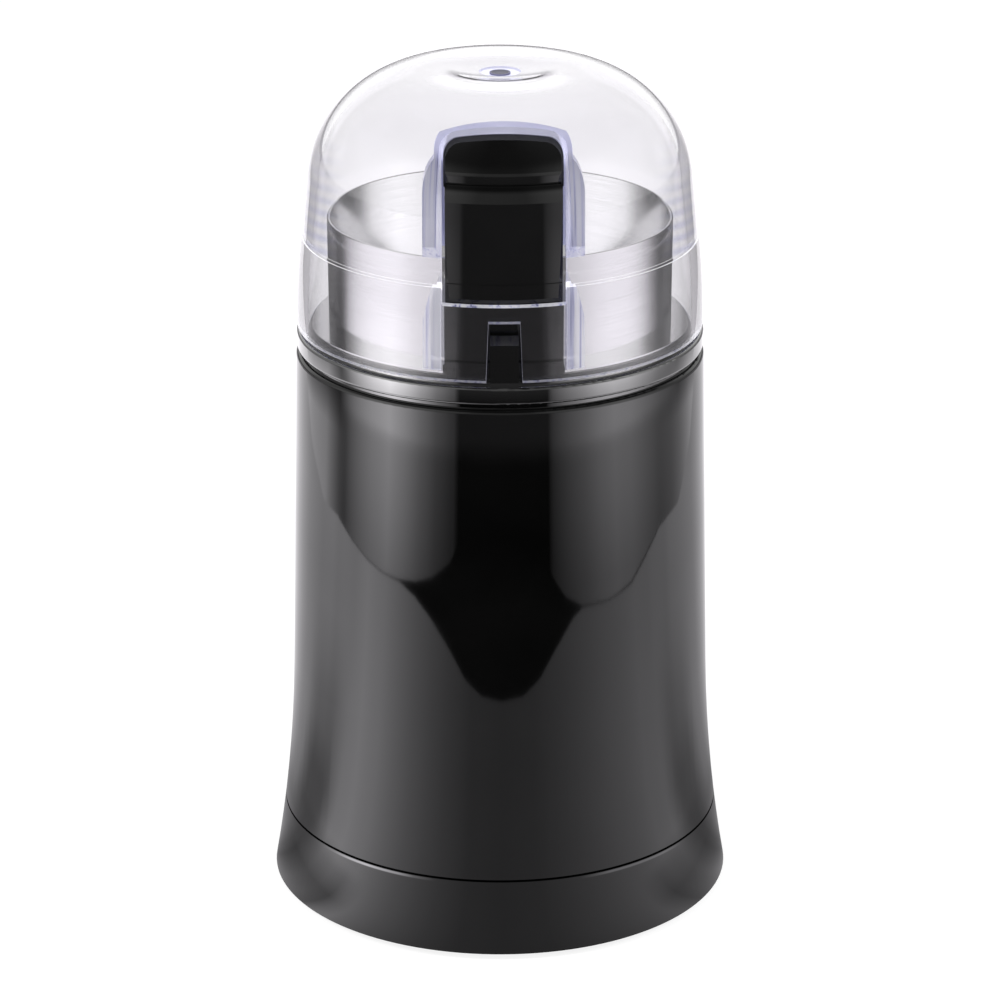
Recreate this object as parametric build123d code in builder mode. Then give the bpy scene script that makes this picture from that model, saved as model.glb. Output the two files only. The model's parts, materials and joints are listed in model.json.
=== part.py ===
from build123d import *

import os
from math import asin, copysign, cos, degrees, pi, radians, sin, sqrt, tan

os.makedirs("parts", exist_ok=True)

# Blade coffee grinder. Millimetres, +Z up, origin under the middle of the base, button towards -Y.

# Housing and base: one waisted curve, split by a thin seam
foot_stand = 1.5  # rubber feet below the skirt's edge
base_radius = 50.0
base_height = 16.2
seam_gap = 0.5
body_height = 119.7  # skirt's edge to the housing's top edge
body_top_radius = 43.45
waist_height = 48.0  # where the straight taper turns into the flare
waist_radius = 45.15
body_wall = 2.4
body_edge_round = 1.0
base_plate_lift = 1.5
base_plate = 2.5
base_lip_height = 4.0
base_lip_wall = 1.6
base_lip_fit = 0.25
vent_count = 10
vent_width = 2.6
vent_length = 13.0

# Screws, bosses and feet of the base
boss_inset = 11.5  # boss axis inside the base's edge
boss_bearing = 30.0
boss_radius = 3.6
boss_height = 24.0
boss_count = 3
boss_rib = 2.0
screw_radius = 1.5
screw_fit = 0.1
screw_length = 22.0
screw_head_radius = 3.0
screw_head_height = 2.2
head_room = 0.6
well_ledge = 3.0
well_shell = 1.4
foot_inset = 12.0
foot_bearing = 90.0
foot_radius = 6.0
foot_round = 0.8
foot_stem_radius = 2.2
foot_stem_fit = 0.05
foot_bulb_radius = 3.0
foot_bulb_height = 2.2
foot_bulb_taper = 20.0

# Lead inlet at the back
gland_height = 30.0  # centre above the skirt's edge
gland_radius = 4.5
gland_bore = 3.2
gland_flange = 6.2
gland_flange_height = 1.2
gland_fit = 0.1
gland_stand = 0.9

# Top collar: ring, lid seat, bowl well
groove_height = 0.95
groove_depth = 1.1
ring_radius = 43.3
ring_height = 3.95
ring_round = 0.7
seat_step = 1.1
seat_height = 0.8
seat_clearance = 0.1
deck_rise = 1.6
spigot_fit = 0.2
spigot_wall = 1.6
spigot_depth = 9.0
bead_height = 1.6
bead_reach = 0.45
bead_fit = 0.15
well_wall = 1.5
well_floor = 2.5
well_hole = 8.0

# Clear lid: drum band, shoulder, dome with a shallow dish round the gate mark
lid_radius = 43.1
lid_wall = 2.2
lid_fit = 0.4
band_height = 19.3
band_top_radius = 41.9
dome_radius = 41.65
dome_height = 36.0
dome_draft = 5.8
dome_corner = 25.2
dish_sink = 1.5
gate_radius = 4.4
gate_depth = 0.3
gate_nub_radius = 2.2

# Niche of the lid, round the button tower
niche_half = 12.5
niche_wall = 1.2
flank_wall = 3.6  # thickness of the niche's sides below their shoulders
flank_drop = 13.1  # start of those shoulders below the roof
flank_shoulder = 6.3
niche_depth_y = 28.3  # distance of the niche's back face from the axis
niche_rib_y = 37.1
sill_height = 15.7
arch_height = 49.1
arch_rise = 1.3
arch_corner = 4.0
notch_half_top = 3.2
notch_half_foot = 3.7
notch_height = 12.4

# Button tower
niche_gap = 0.6
tower_wall = 1.1
tower_side = 1.2
plinth_height = 4.4
crease_height = 20.5  # above the ring
crease_step = 0.3
button_stand = 9.6  # niche's roof above the tower's top
tower_recess = 0.9
lip_height = 3.2
lip_round = 1.3
lip_edge = 0.8
shelf_gap = 0.7
shelf_wall = 1.2
head_gap = 0.5
key_gap = 0.3
key_reach = 3.4
key_front_height = 8.9
key_height = 11.0

# Button and push rod
press_travel = 3.0
button_recess = 1.2
button_gap = 0.35
button_sink = 0.7
button_arch_gap = 0.5
button_side_gap = 0.35
button_round = 0.6
button_nose_round = 1.5
post_half = 8.5
post_depth = 4.2
rod_sheet = 0.6
rod_half = 3.5
rod_slot_gap = 0.5
travel_room = 0.5
rod_foot_drop = 4.3  # foot of the rod below the well's floor

# Grinding bowl and blade
bowl_radius = 36.4
bowl_wall = 0.6
bowl_stand = 24.9  # rim above the ring
bowl_depth = 42.0
bowl_corner = 10.0
bowl_gap = 0.3
bowl_flange = 40.0  # radius of the flange on the collar's deck
bowl_hole = 6.2
seal_fit = 0.1
seal_flange = 8.6
seal_flange_height = 1.2
shaft_room = 0.35
spacer_radius = 5.5
spacer_gap = 0.5
spacer_height = 4.5
blade_sheet = 1.6
blade_width = 11.0
blade_reach = 27.5
blade_flat = 9.0
blade_lift = 4.5
blade_tip_width = 6.0
nut_radius = 5.0
nut_height = 3.6

# Motor
shaft_radius = 3.0
shaft_press = 0.02
shaft_run = 0.05
bearing_radius = 5.0
bearing_length = 7.0
bearing_wall_fit = 0.02
mount_spread = 16.0
mount_boss_height = 4.0
mount_boss_radius = 4.0
grommet_height = 3.5
grommet_radius = 5.0
bracket_sheet = 2.0
bracket_half = 8.0
bracket_height = 20.4
hub_radius = 8.0
hub_height = 6.5
stack_height = 20.0
stack_length = 58.0
stack_width = 46.0
stack_round = 8.0
stack_bore = 15.5
air_gap = 0.6
pole_half = 10.0
window_half = 17.0
yoke = 5.0
coil_fit = 0.4
coil_reach = 8.0
coil_round = 5.0
tooth_count = 12
slot_width = 2.6
slot_depth = 7.0
winding_fit = 0.15
winding_height = 7.0
winding_inset = 1.4
winding_core = 4.5
winding_round = 2.5
commutator_radius = 9.0
commutator_height = 11.0
bar_groove = 0.6
bar_groove_depth = 0.7
lower_bracket_height = 22.0
lower_plate = 3.0
thrust_gap = 0.6
tie_spread = 19.5
tie_post_width = 10.0
tie_post_depth = 7.0
brush_width = 6.0
brush_length = 9.0
brush_gap = 0.3
brush_fit = 0.2
holder_wall = 0.8
holder_length = 17.0
spring_wire = 0.3
brush_spring_radius = 2.0
brush_spring_turns = 5

# Switch under the push rod
switch_length = 20.0
switch_depth = 6.4
switch_height = 10.0
switch_left = -16.0
switch_drop = 11.9  # top of the switch below the well's floor
switch_back_y = 30.8  # distance of the mounting plate's face from the axis
switch_plate = 1.6
switch_hole_spread = 9.6
switch_screw_radius = 1.3
terminal_height = 6.0
terminal_width = 4.8
terminal_sheet = 0.8
lever_inset = 2.0
lever_length = 17.0
lever_width = 5.0
lever_sheet = 0.5
lever_barrel = 0.9
lever_gap = 0.3
lever_rise = 14.5
nose_arm = 12.0
nose_radius = 1.2
return_wire = 0.35
return_radius = 2.2
return_turns = 5
return_shelf_gap = 0.3
return_length = 11.0
return_end_gap = 0.05
return_shelf = 1.5
return_shelf_half = 2.9

# Levels
base_z = foot_stand
plate_z = base_z + base_plate_lift
plate_top_z = plate_z + base_plate
seam_z = base_z + base_height
waist_z = base_z + waist_height
body_top_z = base_z + body_height
gland_z = base_z + gland_height
ring_z = body_top_z + groove_height
ring_top_z = ring_z + ring_height
seat_z = ring_top_z + seat_height
lid_z = seat_z + seat_clearance
deck_z = ring_top_z + deck_rise
flange_top_z = deck_z + bowl_wall
shoulder_z = lid_z + band_height
lid_top_z = shoulder_z + dome_height
sill_z = lid_z + sill_height
arch_z = lid_z + arch_height
roof_z = arch_z + niche_wall
flank_z = roof_z - flank_drop
plinth_z = ring_top_z + plinth_height
crease_z = ring_top_z + crease_height
tower_top_z = arch_z - button_stand
lip_z = tower_top_z - lip_height
bowl_rim_z = ring_top_z + bowl_stand
bowl_floor_z = bowl_rim_z - bowl_depth
well_floor_z = bowl_floor_z - bowl_wall
well_under_z = well_floor_z - well_floor
shelf_z = bowl_rim_z + shelf_gap
shelf_top_z = shelf_z + shelf_wall
tab_z = shelf_top_z + press_travel + travel_room
tab_top_z = tab_z + rod_sheet
cap_z = tower_top_z - button_sink
tower_side_top_z = cap_z - press_travel - travel_room
foot_tab_z = well_under_z - rod_foot_drop
bracket_top_z = well_under_z - mount_boss_height - grommet_height
stack_top_z = bracket_top_z - bracket_height
stack_z = stack_top_z - stack_height
stack_mid_z = stack_z + stack_height / 2
lower_plate_top_z = stack_z - lower_bracket_height
lower_plate_z = lower_plate_top_z - lower_plate
commutator_z = lower_plate_top_z + thrust_gap
hub_z = bracket_top_z - bracket_sheet - hub_height
lower_hub_z = lower_plate_z - hub_height
switch_top_z = well_under_z - switch_drop
switch_z = switch_top_z - switch_height
seal_top_z = bowl_floor_z + seal_flange_height
spacer_z = seal_top_z + spacer_gap
blade_z = spacer_z + spacer_height
nut_z = blade_z + blade_sheet

# Fits shared by neighbouring pieces
boss_ring = base_radius - boss_inset
foot_ring = base_radius - foot_inset
vent_ring = foot_ring / 2
well_radius = bowl_radius + bowl_gap
land_radius = lid_radius - lid_wall - lid_fit
seat_radius = ring_radius - seat_step
tower_half = niche_half - niche_gap
head_y = niche_depth_y + head_gap
rod_y = well_radius  # inner face of the push rod, just outside the bowl
screw_hole = screw_radius + screw_fit
arm_radius = stack_bore - air_gap
bearing_bore = shaft_radius + shaft_run
press_bore = shaft_radius + shaft_press
bearing_seat = bearing_radius + bearing_wall_fit
lever_x = switch_left + lever_inset
lever_z = switch_top_z + lever_barrel + lever_gap
lever_y = switch_back_y + switch_depth / 2
nose_x = lever_x + nose_arm
lever_slope = radians(lever_rise)
nose_tip_z = lever_z + nose_arm * tan(lever_slope) + lever_sheet / cos(lever_slope) + lever_gap
return_z = foot_tab_z - return_length
return_x = switch_left + switch_length + return_shelf_gap + return_shelf_half


# Outer curve of housing and base: straight taper above the waist, tangent flare below it
taper_r = waist_radius - body_top_radius
taper_h = body_top_z - waist_z
taper_len = sqrt(taper_r**2 + taper_h**2)
flare_r = base_radius - waist_radius
flare_turn = (flare_r * taper_h - waist_height * taper_r) / taper_len
flare_radius = (flare_r**2 + waist_height**2) / (2 * flare_turn)


def body_radius(z):
    """Outer radius of the housing and base at a height."""
    if z >= waist_z:
        return waist_radius - taper_r * (z - waist_z) / taper_h
    centre_r = waist_radius + flare_radius * taper_h / taper_len
    centre_z = waist_z + flare_radius * taper_r / taper_len
    return centre_r - copysign(sqrt(flare_radius**2 - (z - centre_z) ** 2), flare_radius)


def body_section(inset, low, high):
    """Half section inside the outer curve, set in from it, between two heights."""
    with BuildSketch(Plane.XZ) as half:
        with BuildLine():
            taper = Line((body_top_radius - inset, body_top_z), (waist_radius - inset, waist_z))
            flare = TangentArc(taper @ 1, (base_radius - inset, base_z), tangent=taper % 1)
            Polyline(flare @ 1, (0, base_z), (0, body_top_z), taper @ 0)
        make_face()
        with Locations((0, low)):
            Rectangle(2 * base_radius, high - low, align=(Align.MIN, Align.MIN), mode=Mode.INTERSECT)
    return half.sketch


def wall_section(low, high):
    """Half section of the shell under the outer curve, between two heights."""
    with BuildSketch(Plane.XZ) as half:
        with BuildLine():
            taper = Line((body_top_radius, body_top_z), (waist_radius, waist_z))
            flare = TangentArc(taper @ 1, (base_radius, base_z), tangent=taper % 1)
            inner = Line((body_top_radius - body_wall, body_top_z), (waist_radius - body_wall, waist_z))
            inner_flare = TangentArc(inner @ 1, (base_radius - body_wall, base_z), tangent=inner % 1)
            Line(flare @ 1, inner_flare @ 1)
            Line(taper @ 0, inner @ 0)
        make_face()
        with Locations((0, low)):
            Rectangle(2 * base_radius, high - low, align=(Align.MIN, Align.MIN), mode=Mode.INTERSECT)
    return half.sketch


# Dome of the lid: drafted side, round corner, shallow dish in the middle
corner_z = lid_top_z - dome_corner
draft = radians(dome_draft)
corner_r = dome_radius - (dome_corner - (shoulder_z - corner_z) * sin(draft)) / cos(draft)
dish_z = lid_top_z - dish_sink
dish_drop = dome_corner - dish_sink
dish_radius = (corner_r**2 + dish_drop**2 - dome_corner**2) / (2 * dish_sink)
dish_angle = degrees(asin(corner_r / (dome_corner + dish_radius)))


def lid_section(inset):
    """Half section inside the lid's outer curve, set in from it."""
    with BuildSketch(Plane.XZ) as half:
        with BuildLine():
            band_foot = (lid_radius - inset, lid_z)
            band = TangentArc(band_foot, (band_top_radius - inset, shoulder_z), tangent=(0, 1))
            corner_sweep = 90 + dish_angle - dome_draft
            corner = CenterArc((corner_r, corner_z), dome_corner - inset, dome_draft, corner_sweep)
            Polyline(band @ 1, (dome_radius - inset, shoulder_z), corner @ 0)
            dish = TangentArc(corner @ 1, (0, dish_z - inset), tangent=corner % 1)
            Polyline(dish @ 1, (0, lid_z), band @ 0)
        make_face()
    return half.sketch


def dome_at(z):
    """Outer radius of the dome's round corner at a height."""
    return corner_r + sqrt(dome_corner**2 - (z - corner_z) ** 2)


def arch_section(start_y, half, low, top, corner):
    """Upright opening with a crowned top, drawn on the plane that far in front of the axis."""
    spring = top - arch_rise
    with BuildSketch(Plane.XZ.offset(start_y)) as face:
        with BuildLine():
            Polyline((half, spring), (half, low), (-half, low), (-half, spring))
            ThreePointArc((-half, spring), (0, top), (half, spring))
        make_face()
        fillet(face.vertices().group_by(Axis.Y)[-1], corner)
    return face.sketch


def coil_path(seat, radius, length, turns):
    """Turns that rise from a plane, as a pair of tangent arcs for each quarter turn."""
    steps = 4 * turns
    rise = length / steps
    slope = 2 * rise / pi

    def along(x, y, z):
        return seat.x_dir * x + seat.y_dir * y + seat.z_dir * z

    def place(step):
        angle = step * pi / 2
        return seat.origin + along(radius * cos(angle), radius * sin(angle), rise * step)

    def heading(step):
        angle = step * pi / 2
        return along(-radius * sin(angle), radius * cos(angle), slope).normalized()

    with BuildLine() as path:
        for step in range(steps):
            start = place(step)
            end = place(step + 1)
            lead = heading(step) + heading(step + 1)
            chord = end - start
            square = 4 - lead.dot(lead)
            run = chord.dot(lead)
            reach = (sqrt(run**2 + square * chord.dot(chord)) - run) / square
            middle = (start + end + (heading(step) - heading(step + 1)) * reach) * 0.5
            first = TangentArc(start, middle, tangent=heading(step))
            TangentArc(middle, end, tangent=first % 1)
    return path.wires()[0]


def niche_section(start_y, low):
    """Outside of the niche: the opening's crown with a wall round it, on two thicker flanks."""
    crown_half = niche_half + niche_wall
    flank_half = niche_half + flank_wall
    with BuildSketch(Plane.XZ.offset(start_y)) as face:
        with BuildLine():
            right = TangentArc((flank_half, flank_z), (crown_half, flank_z + flank_shoulder), tangent=(0, 1))
            left = TangentArc((-flank_half, flank_z), (-crown_half, flank_z + flank_shoulder), tangent=(0, 1))
            Polyline(right @ 0, (flank_half, low), (-flank_half, low), left @ 0)
            Line(left @ 1, right @ 1)
        make_face()
        add(arch_section(start_y, crown_half, low, roof_z, arch_corner + niche_wall))
    return face.sketch


# Clear lid
niche_open = arch_section(niche_depth_y, niche_half, lid_z, arch_z, arch_corner)
niche_window = arch_section(niche_depth_y, niche_half, sill_z, arch_z, arch_corner)

with BuildPart() as niche:
    extrude(niche_section(niche_depth_y - niche_wall, shelf_z), amount=lid_radius)
    extrude(niche_section(niche_rib_y, flange_top_z + lid_fit), amount=lid_radius)
    extrude(niche_open, amount=2 * lid_radius, mode=Mode.SUBTRACT)
    revolve(lid_section(lid_wall / 2), axis=Axis.Z, mode=Mode.INTERSECT)

with BuildPart() as lid:
    revolve(lid_section(0), axis=Axis.Z)
    revolve(lid_section(lid_wall), axis=Axis.Z, mode=Mode.SUBTRACT)
    add(niche.part)
    extrude(niche_window, amount=lid_radius, mode=Mode.SUBTRACT)
    with BuildSketch(Plane.XZ.offset(niche_depth_y)):
        with BuildLine():
            Polyline(
                (-notch_half_foot, lid_z - lid_wall),
                (-notch_half_foot, lid_z),
                (-notch_half_top, lid_z + notch_height),
                (notch_half_top, lid_z + notch_height),
                (notch_half_foot, lid_z),
                (notch_half_foot, lid_z - lid_wall),
                close=True,
            )
        make_face()
    extrude(amount=lid_radius, mode=Mode.SUBTRACT)
    with BuildSketch(Plane.XY.offset(dish_z - gate_depth)):
        Circle(gate_radius)
        Circle(gate_nub_radius, mode=Mode.SUBTRACT)
    extrude(amount=lid_wall, mode=Mode.SUBTRACT)
lid.part.label = "lid"
export_step(lid.part, "parts/lid.step")


# Tower that carries the button: curved front, open back below the bowl's rim, head above it
sill_lean = (lid_radius - band_top_radius) * (sill_height / band_height) ** 2
tower_radius = lid_radius - sill_lean - lid_wall - lid_fit
lip_radius = dome_at(lip_z) - tower_recess
lip_top_radius = lip_radius - lip_round
lip_inner = lip_top_radius - lip_edge
tower_arc_r = tower_radius - crease_step - lip_radius
tower_arc_h = lip_z - crease_z
tower_arc = (tower_arc_r**2 + tower_arc_h**2) / (2 * tower_arc_r)
tab_front = tower_radius - crease_step - tower_arc + sqrt(tower_arc**2 - (tab_top_z - crease_z) ** 2)
cavity_front = tab_front - tower_wall

with BuildPart() as tower:
    with BuildSketch(Plane.XZ):
        with BuildLine():
            sweep_in = TangentArc((tower_radius - crease_step, crease_z), (lip_radius, lip_z), tangent=(0, 1))
            lip = TangentArc(sweep_in @ 1, (lip_top_radius, tower_top_z), tangent=sweep_in % 1)
            Polyline(
                lip @ 1,
                (0, tower_top_z),
                (0, ring_top_z),
                (land_radius, ring_top_z),
                (land_radius, plinth_z),
                (tower_radius, plinth_z),
                (tower_radius, crease_z),
                sweep_in @ 0,
            )
        make_face()
    revolve(axis=Axis.Z)
    with BuildSketch(Plane.YZ):
        with BuildLine():
            Polyline(
                (-ring_radius, ring_top_z),
                (-ring_radius, tower_top_z),
                (-head_y, tower_top_z),
                (-head_y, shelf_z),
                (-well_radius, shelf_z),
                (-well_radius, ring_top_z),
                close=True,
            )
        make_face()
    extrude(amount=tower_half, both=True, mode=Mode.INTERSECT)

with BuildPart() as tower_cavity:
    with BuildSketch(Plane.XZ):
        with BuildLine():
            Polyline(
                (0, ring_top_z),
                (tower_radius - tower_wall, ring_top_z),
                (tower_radius - tower_wall, crease_z),
                (cavity_front, tab_top_z + travel_room),
                (lip_inner, tab_top_z + travel_room + cavity_front - lip_inner),
                (lip_inner, lid_top_z),
                (0, lid_top_z),
                close=True,
            )
        make_face()
    revolve(axis=Axis.Z)
    with BuildSketch(Plane.YZ):
        with BuildLine():
            Polyline(
                (-ring_radius, ring_top_z),
                (-ring_radius, lid_top_z),
                (-head_y - tower_side, lid_top_z),
                (-head_y - tower_side, shelf_top_z),
                (-well_radius, shelf_top_z),
                (-well_radius, ring_top_z),
                close=True,
            )
        make_face()
    extrude(amount=tower_half - tower_side, both=True, mode=Mode.INTERSECT)

# Top collar: ring, lid seat, spigot into the housing, bowl well, tower, key and switch plate
spigot_radius = body_top_radius - body_wall - spigot_fit
spigot_z = body_top_z - spigot_depth
bead_z = spigot_z + bead_height
bead_radius = body_radius(bead_z) - body_wall + bead_reach

with BuildPart() as top_collar:
    with BuildSketch(Plane.XZ):
        with BuildLine():
            Polyline(
                (well_radius, deck_z),
                (land_radius, deck_z),
                (land_radius, seat_z),
                (seat_radius, seat_z),
                (seat_radius, ring_top_z),
                (ring_radius, ring_top_z),
                (ring_radius, ring_z),
                (ring_radius - groove_depth, ring_z),
                (ring_radius - groove_depth, body_top_z),
                (spigot_radius, body_top_z),
                (spigot_radius, bead_z + bead_height),
                (bead_radius, bead_z),
                (spigot_radius, spigot_z),
                (spigot_radius - spigot_wall, spigot_z),
                (spigot_radius - spigot_wall, body_top_z),
                (well_radius + well_wall, body_top_z),
                (well_radius + well_wall, well_under_z),
                (well_hole, well_under_z),
                (well_hole, well_floor_z),
                (well_radius, well_floor_z),
                close=True,
            )
        make_face()
    revolve(axis=Axis.Z)
    ring_edges = top_collar.edges().filter_by(GeomType.CIRCLE)
    fillet(ring_edges.filter_by(lambda edge: abs(edge.radius - ring_radius) < seat_clearance), ring_round)
    add(tower.part)
    add(tower_cavity.part, mode=Mode.SUBTRACT)
    with BuildSketch(Plane.XY.offset(tower_side_top_z)):
        Circle(lip_inner)
    extrude(amount=lid_top_z - tower_side_top_z, mode=Mode.SUBTRACT)
    with BuildSketch(Plane.XY.offset(well_under_z - well_floor)):
        with Locations((0, -rod_y - rod_sheet / 2)):
            Rectangle(2 * rod_half + 2 * rod_slot_gap, rod_sheet + 2 * rod_slot_gap)
    extrude(amount=shelf_top_z - well_under_z + well_floor, mode=Mode.SUBTRACT)
    with BuildSketch(Plane.YZ):
        with BuildLine():
            Polyline(
                (-tower_radius + tower_wall / 2, ring_top_z - ring_round),
                (-tower_radius - key_reach, ring_top_z - ring_round),
                (-tower_radius - key_reach, ring_top_z + key_front_height),
                (-tower_radius, ring_top_z + key_height),
                (-tower_radius + tower_wall / 2, ring_top_z + key_height),
                close=True,
            )
        make_face()
    extrude(amount=notch_half_top - key_gap, both=True)
    with BuildSketch(Plane.XY.offset(well_under_z)):
        with Locations((0, -mount_spread), (0, mount_spread)):
            Circle(mount_boss_radius)
    extrude(amount=-mount_boss_height)
    with BuildSketch(Plane.XY.offset(well_under_z)):
        with Locations((switch_left - switch_plate, -switch_back_y)):
            plate_length = return_x + return_shelf_half - switch_left + switch_plate
            Rectangle(plate_length, switch_plate, align=(Align.MIN, Align.MIN))
    extrude(amount=switch_z - well_under_z)
    with BuildSketch(Plane.XY.offset(return_z - return_shelf)):
        with Locations((return_x, -switch_back_y)):
            Rectangle(2 * return_shelf_half, switch_depth, align=(Align.CENTER, Align.MAX))
    extrude(amount=return_shelf)
    with Locations(
        Location((0, -mount_spread, well_under_z - mount_boss_height), (180, 0, 0)),
        Location((0, mount_spread, well_under_z - mount_boss_height), (180, 0, 0)),
    ):
        Hole(screw_radius + shaft_press, depth=mount_boss_height + well_floor / 2)
    with Locations(
        *[
            Location((switch_left + switch_length / 2 + side * switch_hole_spread / 2, -switch_back_y,
                      switch_z + switch_height / 2), (90, 0, 0))
            for side in (-1, 1)
        ]
    ):
        Hole(switch_screw_radius + shaft_press, depth=2 * switch_plate)
top_collar.part.label = "top_collar"
export_step(top_collar.part, "parts/top_collar.step")


# Button: cap that continues the dome behind the tower's lip, with a post down to the rod
button_front = lip_inner - button_gap
button_half = niche_half - button_side_gap
post_back = head_y + tower_side + travel_room
cap_top_z = arch_z - button_arch_gap
cap_outline = arch_section(head_y, button_half, cap_z, cap_top_z, arch_corner - button_side_gap)

with BuildPart() as button:
    revolve(lid_section(button_recess), axis=Axis.Z)
    extrude(cap_outline, amount=lid_radius, mode=Mode.INTERSECT)
    with BuildSketch(Plane.XY.offset(cap_z)):
        Circle(button_front)
    extrude(amount=dome_height, mode=Mode.INTERSECT)
    face_edges = button.faces().filter_by(GeomType.REVOLUTION).sort_by(SortBy.AREA)[-1].edges()
    fillet(face_edges.sort_by(Axis.Y)[0], button_nose_round)
    crown_edges = button.faces().filter_by(GeomType.REVOLUTION).sort_by(SortBy.AREA)[-1].edges()
    fillet(crown_edges.sort_by(Axis.Y)[1:], button_round)
    with BuildSketch(Plane.XY.offset(tab_top_z)):
        with Locations((0, -post_back)):
            Rectangle(2 * post_half, post_depth, align=(Align.CENTER, Align.MAX))
    extrude(amount=cap_z - tab_top_z + button_sink)
button.part.label = "button"
export_step(button.part, "parts/button.step")

# Push rod: bent steel strip between the bowl and the tower's front, with a foot over the switch
with BuildPart() as push_rod:
    with BuildSketch(Plane.YZ):
        with BuildLine():
            Polyline(
                (-rod_y - rod_sheet, foot_tab_z),
                (-rod_y - rod_sheet, tab_top_z),
                (-post_back, tab_top_z),
                (-post_back, tab_z),
                (-rod_y, tab_z),
                (-rod_y, foot_tab_z),
                close=True,
            )
        make_face()
    extrude(amount=rod_half, both=True)
    with BuildSketch(Plane.XY.offset(foot_tab_z)):
        with Locations((nose_x - 2 * nose_radius, -rod_y - rod_sheet)):
            Rectangle(
                return_x + return_shelf_half - nose_x + 2 * nose_radius,
                rod_y + rod_sheet - switch_back_y - rod_slot_gap,
                align=(Align.MIN, Align.MIN),
            )
    extrude(amount=rod_sheet)
    with BuildSketch(Plane.XY.offset(foot_tab_z)):
        with Locations((nose_x, -lever_y)):
            Circle(nose_radius)
    extrude(amount=nose_tip_z - foot_tab_z)
    fillet(push_rod.faces().sort_by(Axis.Z)[0].edges(), nose_radius / 2)
push_rod.part.label = "push_rod"
export_step(push_rod.part, "parts/push_rod.step")

# Return spring under the rod's foot
return_seat = Plane((return_x, -lever_y, return_z + return_wire + return_end_gap))
return_rise = return_length - 2 * (return_wire + return_end_gap)
return_path = coil_path(return_seat, return_radius, return_rise, return_turns)
with BuildPart() as return_spring:
    with BuildSketch(Plane(return_path @ 0, z_dir=return_path % 0)):
        Circle(return_wire)
    sweep(path=return_path)
return_spring.part.label = "return_spring"
export_step(return_spring.part, "parts/return_spring.step")

# Grinding bowl, pressed from sheet steel
bowl_turn = bowl_radius - bowl_corner
with BuildPart() as bowl:
    with BuildSketch(Plane.XZ):
        with BuildLine():
            under = Line((bowl_hole, well_floor_z), (bowl_turn, well_floor_z))
            turn_z = well_floor_z + bowl_corner
            outer_turn = TangentArc(under @ 1, (bowl_radius, turn_z), tangent=(1, 0))
            inner_wall = bowl_radius - bowl_wall
            inner_turn = TangentArc((bowl_turn, bowl_floor_z), (inner_wall, turn_z), tangent=(1, 0))
            Polyline(outer_turn @ 1, (bowl_radius, bowl_rim_z), (inner_wall, bowl_rim_z), inner_turn @ 1)
            Polyline(inner_turn @ 0, (bowl_hole, bowl_floor_z), under @ 0)
        make_face()
    revolve(axis=Axis.Z)
    fillet(bowl.edges().group_by(Axis.Z)[-1], bowl_wall / 3)
    with BuildSketch(Plane.XY.offset(deck_z)):
        Circle(bowl_flange)
        Circle(bowl_radius - bowl_wall / 2, mode=Mode.SUBTRACT)
        with Locations((0, -bowl_radius)):
            Rectangle(2 * (tower_half + bowl_gap), 2 * (bowl_flange - bowl_radius), mode=Mode.SUBTRACT)
    extrude(amount=bowl_wall)
bowl.part.label = "bowl"
export_step(bowl.part, "parts/bowl.step")

# Shaft seal in the bowl's floor
with BuildPart() as shaft_seal:
    with BuildSketch(Plane.XY.offset(well_under_z)):
        Circle(bowl_hole - seal_fit)
    extrude(amount=seal_top_z - well_under_z)
    with BuildSketch(Plane.XY.offset(bowl_floor_z)):
        Circle(seal_flange)
    extrude(amount=seal_flange_height)
    chamfer(shaft_seal.edges().group_by(Axis.Z)[-1], seal_flange_height / 3)
    with BuildSketch(Plane.XY.offset(well_under_z)):
        Circle(shaft_radius + shaft_room)
    extrude(amount=seal_top_z - well_under_z, mode=Mode.SUBTRACT)
shaft_seal.part.label = "shaft_seal"
export_step(shaft_seal.part, "parts/shaft_seal.step")

# Rotor: shaft, spacer, blade and nut
shaft_z = lower_hub_z + thrust_gap
shaft_top_z = nut_z + nut_height - blade_sheet / 2
with BuildPart() as motor_shaft:
    with BuildSketch(Plane.XY.offset(shaft_z)):
        Circle(shaft_radius)
    extrude(amount=shaft_top_z - shaft_z)
    chamfer(motor_shaft.edges().filter_by(GeomType.CIRCLE), shaft_radius / 8)
motor_shaft.part.label = "motor_shaft"
export_step(motor_shaft.part, "parts/motor_shaft.step")

with BuildPart() as blade_spacer:
    with BuildSketch(Plane.XY.offset(spacer_z)):
        Circle(spacer_radius)
        Circle(press_bore, mode=Mode.SUBTRACT)
    extrude(amount=spacer_height)
blade_spacer.part.label = "blade_spacer"
export_step(blade_spacer.part, "parts/blade_spacer.step")

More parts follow.
